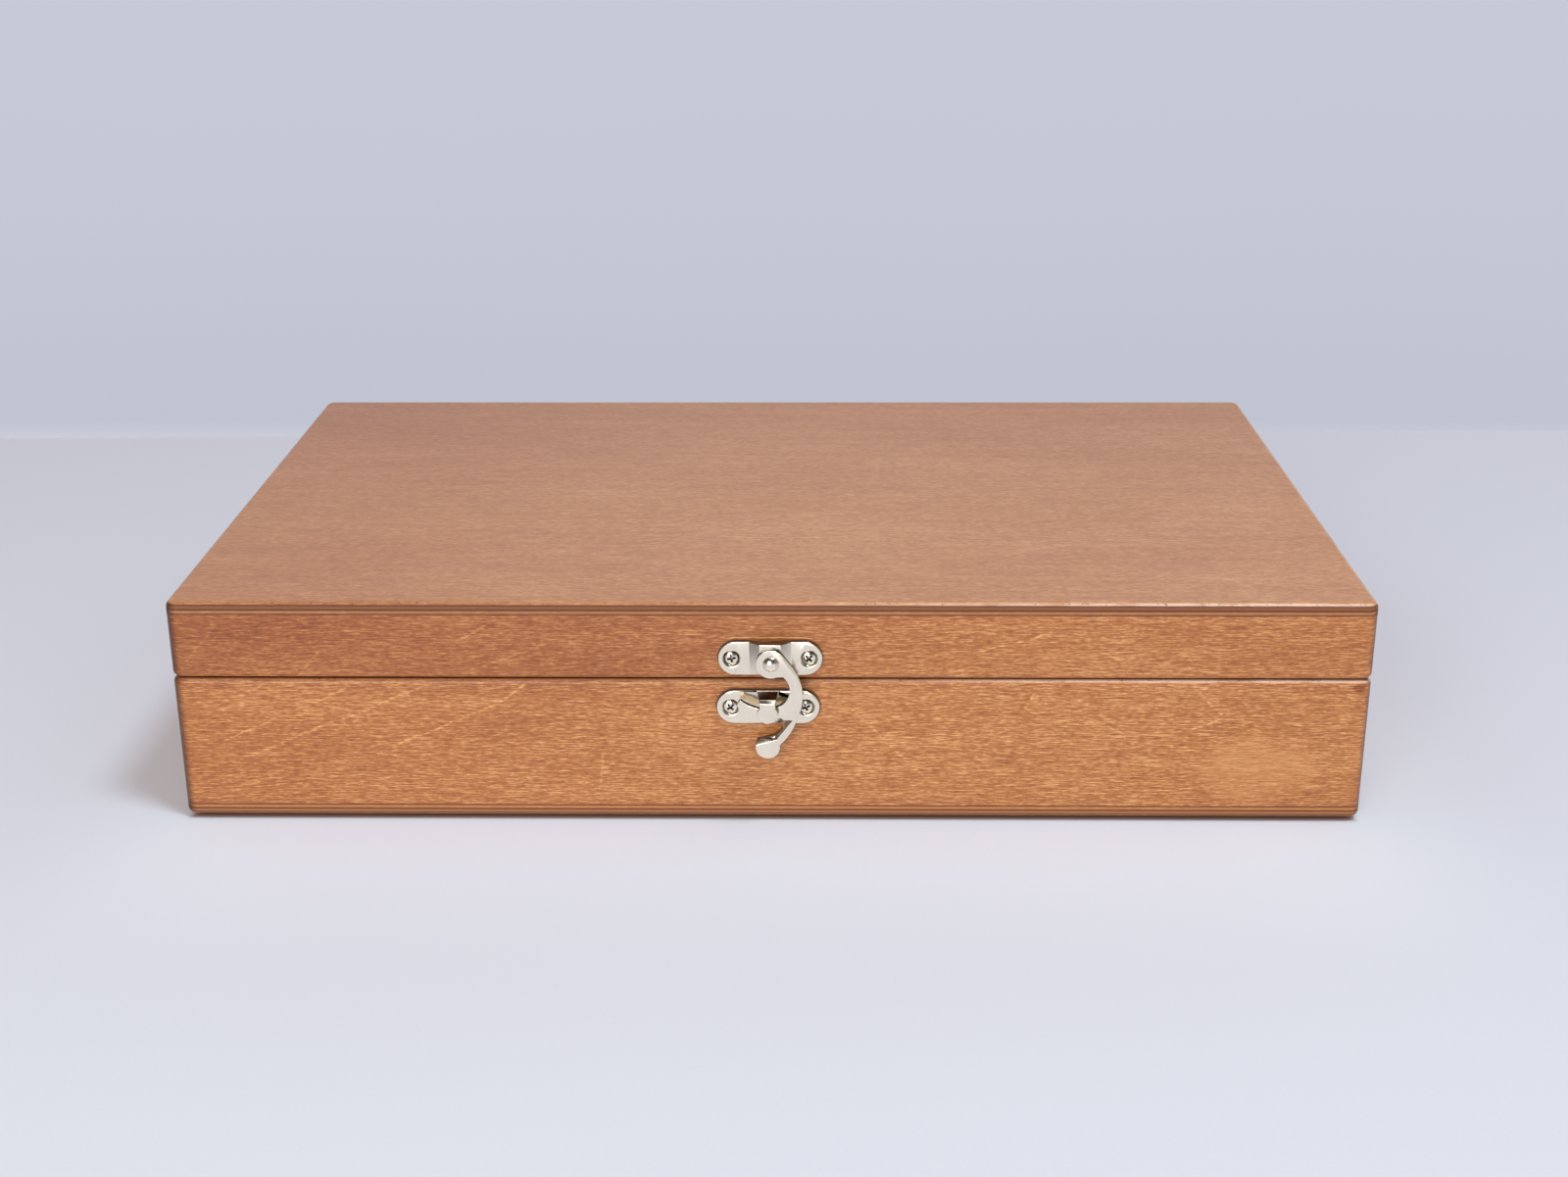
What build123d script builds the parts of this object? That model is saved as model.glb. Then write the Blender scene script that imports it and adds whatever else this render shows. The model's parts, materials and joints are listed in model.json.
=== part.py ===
from build123d import *
import math
import os

# A flat wooden case: a base with a grid of compartments, a lid on two butt hinges, and a swing-hook
# clasp at the front. Millimetres. X runs along the case, Y to the back, Z up from the table. The
# origin is on the table, under the middle of the whole outline with clasp and hinges.

# Case
case_width = 320
case_depth = 200
case_height = 63.3
corner_radius = 3
wall_thickness = 8
panel_thickness = 3.3
top_edge_radius = 1.8
bottom_edge_radius = 1.5
rim_radius = 1.5
seam_height = 41.7
seam_gap = 0.25

# Feet
foot_height = 1.3
foot_radius = 5
foot_inset = 18

# Compartments
columns = 6
rows = 4
divider_thickness = 3
divider_height = 33
slot_clearance = 0.1

# Clasp, with distances from the front wall written as "off"
clasp_reach = 6.6
clasp_x = 0.45
plate_x = 0.2
plate_z = 48.3
pivot_height = 48.1
keeper_x = -0.4
keeper_height = 34.35
plate_length = 27.6
keeper_length = 27.4
plate_height = 9.45
plate_sheet = 1.5
clasp_screw_spacing = 20.5
keeper_screw_spacing = 20.1
bridge_flat = 5.6
bridge_ramp = 2.8
bridge_off = 3.7
bridge_relief = 1
hook_back_off = 3.75
hook_front_off = 5.25
lever_back_off = 2.4
eye_radius = 4
beak_inner_radius = 13
beak_outer_radius = 15
pad_radius = 3.2
bend_drop = 16
rivet_radius = 1.2
rivet_head_radius = 2.2
rivet_head_height = 1.1
tongue_sheet = 1.1
tongue_width = 4.1
tongue_root_width = 5.8
tongue_drop = 0.9
tongue_bend = 0.8
disc_x = -0.5
disc_height = 34.4
disc_radius = 2.7

# Hinges
hinge_x = 105
hinge_length = 24
leaf_height = 10
leaf_sheet = 0.8
leaf_corner_radius = 1
barrel_radius = 1.6
pin_radius = 0.8
knuckle_gap = 0.15
leaf_screw_spacing = 15
leaf_screw_drop = 6.2

# Fits
running_clearance = 0.05
screw_hole_clearance = 0.02

# Worked-out places
case_middle = (clasp_reach - 2 * barrel_radius) / 2
case_front = case_middle - case_depth / 2
case_back = case_middle + case_depth / 2
base_wall_bottom = foot_height + panel_thickness
base_wall_top = seam_height - seam_gap / 2
lid_wall_bottom = seam_height + seam_gap / 2
lid_wall_top = case_height - panel_thickness
inside_width = case_width - 2 * wall_thickness
inside_depth = case_depth - 2 * wall_thickness
barrel_y = case_back + barrel_radius

case_plane = Plane((0, case_middle, 0))
pivot_plane = Plane((clasp_x, case_front, pivot_height), x_dir=(1, 0, 0), z_dir=(0, -1, 0))
plate_plane = Plane((plate_x, case_front, plate_z), x_dir=(1, 0, 0), z_dir=(0, -1, 0))
keeper_plane = Plane((keeper_x, case_front, keeper_height), x_dir=(1, 0, 0), z_dir=(0, -1, 0))

os.makedirs("parts", exist_ok=True)


def finish(piece, name):
    piece.part.label = name
    export_step(piece.part, f"parts/{name}.step")


def cap_radius(edge_radius, height):
    """Radius of the sphere that a low dome is cut from."""
    return (edge_radius ** 2 + height ** 2) / (2 * height)


# Wood

def panel(bottom, soft_edges, edge_radius):
    with BuildPart() as board:
        with BuildSketch(case_plane.offset(bottom)):
            RectangleRounded(case_width, case_depth, corner_radius)
        extrude(amount=panel_thickness)
        fillet(board.edges().group_by(Axis.Z)[soft_edges], edge_radius)
    return board


def wall_ring(bottom, top, rim):
    with BuildPart() as ring:
        with BuildSketch(case_plane.offset(bottom)):
            RectangleRounded(case_width, case_depth, corner_radius)
        extrude(amount=top - bottom)
        fillet(ring.edges().group_by(Axis.Z)[rim], rim_radius)
        with BuildSketch(case_plane.offset(bottom)):
            Rectangle(inside_width, inside_depth)
        extrude(amount=top - bottom, mode=Mode.SUBTRACT)
    return ring


def wall_from(ring, x, y, length, width, screw_places=(), screw_radius=0):
    """One board of the ring, with pilot holes where screws go in."""
    with BuildPart() as board:
        add(ring.part)
        with BuildSketch(case_plane):
            with Locations((x, y)):
                Rectangle(length, width)
        extrude(amount=case_height, mode=Mode.INTERSECT)
        if screw_places:
            with Locations(*screw_places):
                Hole(screw_radius + screw_hole_clearance, depth=screw_depth)
    return board


# Screws. Each is made head up at the origin, and set in place by a plane that faces out of the wood.
# The clasp's heads sit a little deep in wide countersinks

clasp_screw_radius = 0.85
clasp_head_radius = 1.88
clasp_head_dome = 0.55
clasp_head_sink = 0.45
clasp_sink_radius = 2.4
leaf_screw_radius = 0.8
leaf_head_radius = 1.5
leaf_head_dome = 0.3
leaf_sink_radius = 1.6
sink_clearance = 0.1
screw_length = 7
screw_depth = screw_length + 0.3
recess_reach = 1.25
recess_width = 0.62
recess_depth = 0.95
recess_taper = 8


def wood_screw(head_radius, shank_radius, dome):
    with BuildPart() as screw:
        with BuildSketch(Plane.XZ):
            with BuildLine():
                neck = shank_radius - head_radius
                Polyline(
                    (0, dome),
                    (0, -screw_length),
                    (shank_radius, -screw_length + 2 * shank_radius),
                    (shank_radius, neck),
                    (head_radius, 0),
                )
                RadiusArc((head_radius, 0), (0, dome), -cap_radius(head_radius, dome))
            make_face()
        revolve(axis=Axis.Z)
        with BuildSketch(Plane.XY.offset(dome)):
            Rectangle(head_radius * recess_reach, recess_width)
            Rectangle(recess_width, head_radius * recess_reach)
        extrude(amount=-recess_depth, taper=recess_taper, mode=Mode.SUBTRACT)
    return screw


def screw_group(screw, planes):
    with BuildPart() as group:
        with Locations(*planes):
            add(screw.part)
    return group


def clasp_screw_planes(middle, spacing, off, turns=(0, 0)):
    """turns are the angles at which the two screws' crosses came to rest."""
    places = []
    for side, turn in zip((-1, 1), turns):
        spot = middle.offset(off).from_local_coords((side * spacing / 2, 0, 0))
        angle = math.radians(turn)
        places.append(Plane(spot, x_dir=(math.cos(angle), 0, math.sin(angle)), z_dir=(0, -1, 0)))
    return places


def leaf_screw_planes(direction, off):
    """direction is -1 for the base leaves, below the barrel, and 1 for the lid leaves above it."""
    z = seam_height + direction * leaf_screw_drop
    return [
        Plane((x + side * leaf_screw_spacing / 2, case_back + off, z), x_dir=(1, 0, 0), z_dir=(0, 1, 0))
        for x in (-hinge_x, hinge_x)
        for side in (-1, 1)
    ]


# Base

bottom_panel = panel(foot_height, 0, bottom_edge_radius)
finish(bottom_panel, "bottom_panel")

side_x = (case_width - wall_thickness) / 2
side_y = (case_depth - wall_thickness) / 2

base_ring = wall_ring(base_wall_bottom, base_wall_top, -1)
base_front_wall = wall_from(base_ring, 0, -side_y, case_width, wall_thickness,
                            clasp_screw_planes(keeper_plane, keeper_screw_spacing, 0), clasp_screw_radius)
finish(base_front_wall, "base_front_wall")
base_back_wall = wall_from(base_ring, 0, side_y, case_width, wall_thickness,
                           leaf_screw_planes(-1, 0), leaf_screw_radius)
finish(base_back_wall, "base_back_wall")
base_left_wall = wall_from(base_ring, -side_x, 0, wall_thickness, inside_depth)
finish(base_left_wall, "base_left_wall")
base_right_wall = wall_from(base_ring, side_x, 0, wall_thickness, inside_depth)
finish(base_right_wall, "base_right_wall")

# Dividers. Long and cross dividers are slotted to half their height and pushed into each other

cell_width = (inside_width - (columns - 1) * divider_thickness) / columns
cell_depth = (inside_depth - (rows - 1) * divider_thickness) / rows
cross_places = [-inside_width / 2 + (i + 1) * (cell_width + divider_thickness) - divider_thickness / 2
                for i in range(columns - 1)]
long_places = [-inside_depth / 2 + (i + 1) * (cell_depth + divider_thickness) - divider_thickness / 2
               for i in range(rows - 1)]
slot_width = divider_thickness + slot_clearance
divider_gap = 0.1


def divider(x, y, length, width, slots, slot_bottom):
    """A standing board centred on x, y, with slots of half its height at the given places."""
    with BuildPart() as board:
        with BuildSketch(case_plane.offset(base_wall_bottom)):
            with Locations((x, y)):
                Rectangle(length, width)
        extrude(amount=divider_height)
        with BuildSketch(case_plane.offset(slot_bottom)):
            with Locations(*slots):
                Rectangle(slot_width, slot_width)
        extrude(amount=divider_height / 2, mode=Mode.SUBTRACT)
    return board


slot_middle = base_wall_bottom + divider_height / 2
for number, y in enumerate(long_places, 1):
    long_divider = divider(0, y, inside_width - divider_gap, divider_thickness,
                           [(x, y) for x in cross_places], slot_middle)
    finish(long_divider, f"long_divider_{number}")
for number, x in enumerate(cross_places, 1):
    cross_divider = divider(x, 0, divider_thickness, inside_depth - divider_gap,
                            [(x, y) for y in long_places], base_wall_bottom)
    finish(cross_divider, f"cross_divider_{number}")

# Feet

foot_x = case_width / 2 - foot_inset
foot_y = case_depth / 2 - foot_inset
for end, y in (("front", -foot_y), ("back", foot_y)):
    for side, x in (("left", -foot_x), ("right", foot_x)):
        with BuildPart() as foot:
            with BuildSketch(case_plane):
                with Locations((x, y)):
                    Circle(foot_radius)
            extrude(amount=foot_height)
            fillet(foot.edges().group_by(Axis.Z)[0], foot_height / 3)
        finish(foot, f"foot_{end}_{side}")

# Lid

lid_top_panel = panel(lid_wall_top, -1, top_edge_radius)
finish(lid_top_panel, "lid_top_panel")

lid_ring = wall_ring(lid_wall_bottom, lid_wall_top, 0)
lid_front_wall = wall_from(lid_ring, 0, -side_y, case_width, wall_thickness,
                           clasp_screw_planes(plate_plane, clasp_screw_spacing, 0), clasp_screw_radius)
finish(lid_front_wall, "lid_front_wall")
lid_back_wall = wall_from(lid_ring, 0, side_y, case_width, wall_thickness,
                          leaf_screw_planes(1, 0), leaf_screw_radius)
finish(lid_back_wall, "lid_back_wall")
lid_left_wall = wall_from(lid_ring, -side_x, 0, wall_thickness, inside_depth)
finish(lid_left_wall, "lid_left_wall")
lid_right_wall = wall_from(lid_ring, side_x, 0, wall_thickness, inside_depth)
finish(lid_right_wall, "lid_right_wall")

# Upper clasp plate: a round-ended strip with its middle bent forward into a bridge for the rivet

ramp_foot = bridge_flat / 2 + bridge_ramp
ramp_head = bridge_flat / 2
strip_end = plate_length / 2 + 1
bridge_back_off = bridge_off - plate_sheet

with BuildPart() as hook_plate:
    with BuildSketch(plate_plane):
        SlotOverall(plate_length, plate_height)
    extrude(amount=bridge_off)
    with BuildSketch(Plane((plate_x, case_front, plate_z - plate_height / 2))):
        with BuildLine():
            Polyline(
                (-strip_end, 0),
                (-ramp_foot, 0),
                (-ramp_head, -bridge_back_off),
                (ramp_head, -bridge_back_off),
                (ramp_foot, 0),
                (strip_end, 0),
                (strip_end, -plate_sheet),
                (ramp_foot, -plate_sheet),
                (ramp_head, -bridge_off),
                (-ramp_head, -bridge_off),
                (-ramp_foot, -plate_sheet),
                (-strip_end, -plate_sheet),
                close=True,
            )
        make_face()
    extrude(amount=plate_height, mode=Mode.INTERSECT)
    # The bridge is a little shorter than the wings, at its lower edge
    with BuildSketch(plate_plane):
        with BuildLine():
            Polyline(
                (-ramp_foot, -plate_height / 2),
                (-ramp_head, bridge_relief - plate_height / 2),
                (ramp_head, bridge_relief - plate_height / 2),
                (ramp_foot, -plate_height / 2),
                close=True,
            )
        make_face()
    extrude(amount=bridge_off, mode=Mode.SUBTRACT)
    with Locations(*clasp_screw_planes(plate_plane, clasp_screw_spacing, plate_sheet)):
        CounterSinkHole(clasp_screw_radius + sink_clearance, clasp_sink_radius, depth=2 * plate_sheet)
    with Locations(pivot_plane.offset(bridge_off)):
        Hole(rivet_radius + screw_hole_clearance, depth=bridge_off)
finish(hook_plate, "hook_plate")

clasp_screw = wood_screw(clasp_head_radius, clasp_screw_radius, clasp_head_dome)
clasp_screw_off = plate_sheet - clasp_head_sink
hook_screw_places = clasp_screw_planes(plate_plane, clasp_screw_spacing, clasp_screw_off, (10, 45))
hook_plate_screws = screw_group(clasp_screw, hook_screw_places)
finish(hook_plate_screws, "hook_plate_screws")

# Rivet: a domed head in front of the hook, a shank through hook and bridge, and a peened tail behind

tail_height = 0.7
tail_radius = 1.8
head_y = case_front - hook_front_off - running_clearance
tail_y = case_front - bridge_back_off
rivet_axis = Axis((clasp_x, case_front, pivot_height), (0, 1, 0))

with BuildPart() as hook_rivet:
    with BuildSketch(Plane.YZ.offset(clasp_x)):
        with BuildLine():
            crown = (head_y - rivet_head_height, pivot_height)
            rim = (head_y, pivot_height + rivet_head_radius)
            RadiusArc(rim, crown, -cap_radius(rivet_head_radius, rivet_head_height))
            Polyline(
                crown,
                (tail_y + tail_height, pivot_height),
                (tail_y + tail_height, pivot_height + tail_radius),
                (tail_y, pivot_height + tail_radius),
                (tail_y, pivot_height + rivet_radius),
                (head_y, pivot_height + rivet_radius),
                rim,
            )
        make_face()
    revolve(axis=rivet_axis)
finish(hook_rivet, "hook_rivet")

# Swing hook, drawn about its pivot as seen from the front. A round eye runs into a curved arm. The
# arm carries a beak, which is a band on an arc about the pivot, and a lever that ends in a finger pad

pad_centre = (-1.05, -23.9)
beak_tip_angle = 37

with BuildSketch() as hook_outline:
    with BuildLine():
        arm_top = Line((3.22, 2.37), (5.35, -0.35))
        arm_side = TangentArc(arm_top @ 1, (6.95, -15.3), tangent=arm_top % 1)
        lever_side = ThreePointArc(arm_side @ 1, (5.25, -19.45), (2.25, -23.2))
        pad_side = (-4.15, -23.2)
        ThreePointArc(lever_side @ 1, (pad_centre[0], pad_centre[1] - pad_radius), pad_side)
        pad_top = Line(pad_side, (-3.7, -22.1))
        pad_edge = Line(pad_top @ 1, (-0.6, -21.3))
        lever_inside = TangentArc(pad_edge @ 1, (3.1, -18.6), tangent=pad_edge % 1)
        lip = PolarLine((0, 0), beak_outer_radius, -83, mode=Mode.PRIVATE) @ 1
        Polyline(lever_inside @ 1, (3.3, -15.9), lip)
        tip_low = PolarLine((0, 0), beak_outer_radius, -90 - beak_tip_angle, mode=Mode.PRIVATE) @ 1
        tip_high = PolarLine((0, 0), beak_inner_radius, -90 - beak_tip_angle - 1.5, mode=Mode.PRIVATE) @ 1
        beak_root = PolarLine((0, 0), beak_inner_radius, -94, mode=Mode.PRIVATE) @ 1
        RadiusArc(lip, tip_low, beak_outer_radius)
        ThreePointArc(tip_low, (-8.8, -11), tip_high)
        RadiusArc(tip_high, beak_root, -beak_inner_radius)
        Line(beak_root, (1, -12.36))
        ThreePointArc((1, -12.36), (4.9, -7.4), (3.2, -3.65))
        Line((3.2, -3.65), (1.5, -3.708))
        ThreePointArc((1.5, -3.708), (-eye_radius, 0), (3.22, 2.37))
    make_face()

lever_stock = 30
facet_start = pivot_height - bend_drop
facet_x = clasp_x + 5.7
facet_width = 4
facet_cut = 3.7
facet_length = 7.2
facet_direction = (-0.61, 0, -0.79)
pad_slope_start = (-4.8, -23.35)
pad_slope_height = 1.5
pad_slope_depth = 2.3
pad_slope_direction = (1, 0, 0.27)
pad_slope_length = 5.4
lever_front = case_front - hook_front_off

with BuildPart() as swing_hook:
    with BuildSketch(pivot_plane.offset(hook_back_off)):
        add(hook_outline.sketch)
        Circle(rivet_radius + running_clearance, mode=Mode.SUBTRACT)
    extrude(amount=hook_front_off - hook_back_off)
    # The lever and pad are thicker than the arm, towards the wood
    with BuildSketch(pivot_plane.offset(lever_back_off)):
        add(hook_outline.sketch)
        with Locations((0, -bend_drop - lever_stock / 2)):
            Rectangle(lever_stock, lever_stock, mode=Mode.INTERSECT)
    extrude(amount=hook_front_off - lever_back_off)
    # A slanted facet takes the front inner side off the lever, from the bend down to the pad
    with BuildSketch(Plane.XY.offset(facet_start)):
        with BuildLine():
            Polyline(
                (facet_x, lever_front),
                (facet_x - facet_width, lever_front),
                (facet_x - facet_width, lever_front + facet_cut),
                close=True,
            )
        make_face()
    extrude(amount=facet_length, dir=facet_direction, mode=Mode.SUBTRACT)
    # The top edge of the pad slopes back towards the wood
    with BuildSketch(Plane.YZ.offset(clasp_x + pad_slope_start[0])):
        with BuildLine():
            slope_z = pivot_height + pad_slope_start[1]
            Polyline(
                (lever_front, slope_z),
                (lever_front, slope_z + pad_slope_height),
                (lever_front + pad_slope_depth, slope_z + pad_slope_height),
                close=True,
            )
        make_face()
    extrude(amount=pad_slope_length, dir=pad_slope_direction, mode=Mode.SUBTRACT)
finish(swing_hook, "swing_hook")

# Keeper: a round-ended plate whose top edge runs forward as a tongue and turns down into a disc

tongue_top = keeper_height + plate_height / 2
tongue_front = case_front - clasp_reach
tongue_back = tongue_front + tongue_sheet
plate_face = case_front - plate_sheet

with BuildPart() as tongue:
    with BuildSketch(Plane.YZ.offset(disc_x)) as tongue_profile:
        with BuildLine():
            Polyline(
                (case_front, tongue_top),
                (tongue_front, tongue_top - tongue_drop),
                (tongue_front, disc_height),
                (tongue_back, disc_height),
                (tongue_back, tongue_top - tongue_drop - tongue_sheet),
                (plate_face, tongue_top - tongue_sheet),
                (plate_face, keeper_height),
                (case_front, keeper_height),
                close=True,
            )
        make_face()
        chamfer(tongue_profile.vertices().sort_by(Axis.X)[:2].sort_by(Axis.Y)[-1], tongue_bend)
    extrude(amount=tongue_root_width / 2, both=True)
    # Seen from above, the tongue narrows from the plate to the bend
    with BuildSketch(Plane.XY.offset(disc_height)):
        with BuildLine():
            Polyline(
                (disc_x - tongue_root_width / 2, case_front),
                (disc_x - tongue_width / 2, tongue_front),
                (disc_x + tongue_width / 2, tongue_front),
                (disc_x + tongue_root_width / 2, case_front),
                close=True,
            )
        make_face()
    extrude(amount=tongue_top - disc_height, mode=Mode.INTERSECT)

with BuildPart() as keeper_plate:
    with BuildSketch(keeper_plane):
        SlotOverall(keeper_length, plate_height)
    extrude(amount=plate_sheet)
    add(tongue.part)
    with BuildSketch(keeper_plane.offset(clasp_reach - tongue_sheet)):
        with Locations((disc_x - keeper_x, disc_height - keeper_height)):
            Circle(disc_radius)
    extrude(amount=tongue_sheet)
    with Locations(*clasp_screw_planes(keeper_plane, keeper_screw_spacing, plate_sheet)):
        CounterSinkHole(clasp_screw_radius + sink_clearance, clasp_sink_radius, depth=2 * plate_sheet)
finish(keeper_plate, "keeper_plate")

keeper_screw_places = clasp_screw_planes(keeper_plane, keeper_screw_spacing, clasp_screw_off, (40, 20))
keeper_screws = screw_group(clasp_screw, keeper_screw_places)
finish(keeper_screws, "keeper_screws")

# Hinges. The outer knuckles belong to the base leaf and the middle one to the lid leaf

knuckle_length = hinge_length / 3
leaf_cut_back = barrel_radius + 0.2


def hinge_leaf(x, direction, own_knuckles, other_knuckles):
    """direction is 1 for a base leaf, which hangs down from the barrel, and -1 for a lid leaf."""
    leaf_plane = Plane((x, case_back, seam_height), x_dir=(direction, 0, 0), z_dir=(0, 1, 0))
    with BuildPart() as leaf:
        with BuildSketch(leaf_plane) as blank:
            with Locations((0, leaf_height / 2)):
                Rectangle(hinge_length, leaf_height)
            fillet(blank.vertices().group_by(Axis.Y)[-1], leaf_corner_radius)
            with Locations(*[(step * knuckle_length, 0) for step in other_knuckles]):
                Rectangle(knuckle_length + 2 * knuckle_gap, 2 * leaf_cut_back, mode=Mode.SUBTRACT)
        extrude(amount=leaf_sheet)
        for step in own_knuckles:
            with BuildSketch(Plane.YZ.offset(x + (step - 0.5) * knuckle_length)):
                with Locations((barrel_y, seam_height)):
                    Circle(barrel_radius)
            extrude(amount=knuckle_length)
        with BuildSketch(Plane.YZ.offset(x - hinge_length / 2)):
            with Locations((barrel_y, seam_height)):
                Circle(pin_radius + running_clearance)
        extrude(amount=hinge_length, mode=Mode.SUBTRACT)
        all_screws = leaf_screw_planes(-direction, leaf_sheet)
        with Locations(*[plane for plane in all_screws if abs(plane.origin.X - x) < hinge_length]):
            CounterSinkHole(leaf_screw_radius + sink_clearance, leaf_sink_radius, depth=2 * leaf_sheet)
    return leaf


def hinge_pin(x):
    pin_end = 0.5
    with BuildPart() as pin:
        with BuildSketch(Plane.YZ.offset(x - hinge_length / 2 - pin_end)):
            with Locations((barrel_y, seam_height)):
                Circle(pin_radius)
        extrude(amount=hinge_length + 2 * pin_end)
        fillet(pin.edges().group_by(Axis.X)[0] + pin.edges().group_by(Axis.X)[-1], pin_end * 0.8)
    return pin


for side, x in (("left", -hinge_x), ("right", hinge_x)):
    base_leaf = hinge_leaf(x, 1, (-1, 1), (0,))
    finish(base_leaf, f"{side}_hinge_base_leaf")
    lid_leaf = hinge_leaf(x, -1, (0,), (-1, 1))
    finish(lid_leaf, f"{side}_hinge_lid_leaf")
    finish(hinge_pin(x), f"{side}_hinge_pin")

leaf_screw = wood_screw(leaf_head_radius, leaf_screw_radius, leaf_head_dome)
hinge_base_screws = screw_group(leaf_screw, leaf_screw_planes(-1, leaf_sheet))
finish(hinge_base_screws, "hinge_base_screws")
hinge_lid_screws = screw_group(leaf_screw, leaf_screw_planes(1, leaf_sheet))
finish(hinge_lid_screws, "hinge_lid_screws")
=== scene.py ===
import json
import math

import bmesh
import bpy
from mathutils import Matrix, Vector


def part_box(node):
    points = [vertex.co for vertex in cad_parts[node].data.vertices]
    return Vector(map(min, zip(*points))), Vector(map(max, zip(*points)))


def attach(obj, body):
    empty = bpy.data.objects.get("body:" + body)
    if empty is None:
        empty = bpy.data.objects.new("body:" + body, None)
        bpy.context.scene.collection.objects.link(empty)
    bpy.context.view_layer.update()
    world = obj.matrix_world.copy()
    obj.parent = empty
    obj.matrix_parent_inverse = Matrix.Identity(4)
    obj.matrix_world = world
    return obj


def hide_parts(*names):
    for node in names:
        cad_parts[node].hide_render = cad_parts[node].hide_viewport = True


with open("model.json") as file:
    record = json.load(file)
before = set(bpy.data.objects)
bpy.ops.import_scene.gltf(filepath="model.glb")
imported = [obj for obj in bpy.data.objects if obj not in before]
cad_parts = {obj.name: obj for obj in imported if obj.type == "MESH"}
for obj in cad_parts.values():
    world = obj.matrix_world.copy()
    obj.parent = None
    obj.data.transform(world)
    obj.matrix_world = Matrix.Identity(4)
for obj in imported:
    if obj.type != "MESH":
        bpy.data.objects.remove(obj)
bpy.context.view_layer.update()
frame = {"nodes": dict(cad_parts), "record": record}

nodes = frame["nodes"]
record = frame["record"]
bodyOf = {node: body for body, held in record["behaviour"]["bodies"].items() for node in held}
scene = bpy.context.scene
scene.view_settings.view_transform = "Standard"
mm = 0.001

# Outer faces of the wooden case, read from the frame, in millimetres as the materials use them
lidLow, lidHigh = (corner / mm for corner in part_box("lid_top_panel"))
case = {
    "halfWidth": (lidHigh.x - lidLow.x) / 2,
    "halfDepth": (lidHigh.y - lidLow.y) / 2,
    "middle": (lidHigh.y + lidLow.y) / 2,
    "front": lidLow.y,
    "top": lidHigh.z,
    "topJoint": lidLow.z,
    "bottomJoint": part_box("bottom_panel")[1].z / mm,
    "rim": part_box("base_front_wall")[1].z / mm,
}
caseSize = 2 * case["halfWidth"], 2 * case["halfDepth"]
print("frame loaded: %d nodes, case %.0f x %.0f mm" % (len(nodes), *caseSize))


# Camera at the photograph's place, solved from the straight edges of the case
cameraLook = {
    "place": (12.33, -612.09, 259.05),
    "lens": 48.12,
    "down": 20.44,
    "turn": 0.939,
    "roll": -0.248,
}


def makeCamera(look):
    data = bpy.data.cameras.new("photoCamera")
    data.sensor_width = 36
    data.lens = look["lens"]
    data.clip_start = 0.01
    camera = bpy.data.objects.new("photoCamera", data)
    scene.collection.objects.link(camera)
    turn = Matrix.Rotation(math.radians(look["turn"]), 4, "Z")
    tilt = Matrix.Rotation(math.radians(90 - look["down"]), 4, "X")
    roll = Matrix.Rotation(math.radians(look["roll"]), 4, "Z")
    camera.matrix_world = Matrix.Translation(Vector(look["place"]) * mm) @ turn @ tilt @ roll
    scene.camera = camera


makeCamera(cameraLook)
print("camera placed")


# Shader helper: a socket that takes arithmetic
class Wire:
    def __init__(self, paint, socket):
        self.paint = paint
        self.socket = socket

    def maths(self, operation, first, second=0.0):
        return self.paint.node("Math", {"operation": operation}, {0: first, 1: second})

    def __add__(self, other):
        return self.maths("ADD", self, other)

    def __sub__(self, other):
        return self.maths("SUBTRACT", self, other)

    def __mul__(self, other):
        return self.maths("MULTIPLY", self, other)

    def __truediv__(self, other):
        return self.maths("DIVIDE", self, other)

    def __rsub__(self, other):
        return self.maths("SUBTRACT", other, self)

    def __rtruediv__(self, other):
        return self.maths("DIVIDE", other, self)

    def __neg__(self):
        return self.maths("MULTIPLY", self, -1.0)

    def __abs__(self):
        return self.maths("ABSOLUTE", self)

    def __mod__(self, other):
        return self.maths("FLOORED_MODULO", self, other)

    __radd__ = __add__
    __rmul__ = __mul__

    def floor(self):
        return self.maths("FLOOR", self)

    def most(self, other):
        return self.maths("MAXIMUM", self, other)

    def least(self, other):
        return self.maths("MINIMUM", self, other)

    def root(self):
        return self.maths("SQRT", self)

    def rise(self, low, high):               # 0 below low, 1 above high, smooth between
        return self.paint.node(
            "MapRange", {"interpolation_type": "SMOOTHSTEP"},
            {"Value": self, "From Min": low, "From Max": high, "To Min": 0.0, "To Max": 1.0},
        )

    def band(self, middle, width):           # 1 on a line, falling to 0 at width from it
        return 1 - abs(self - middle).rise(width * 0.25, width)


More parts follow.
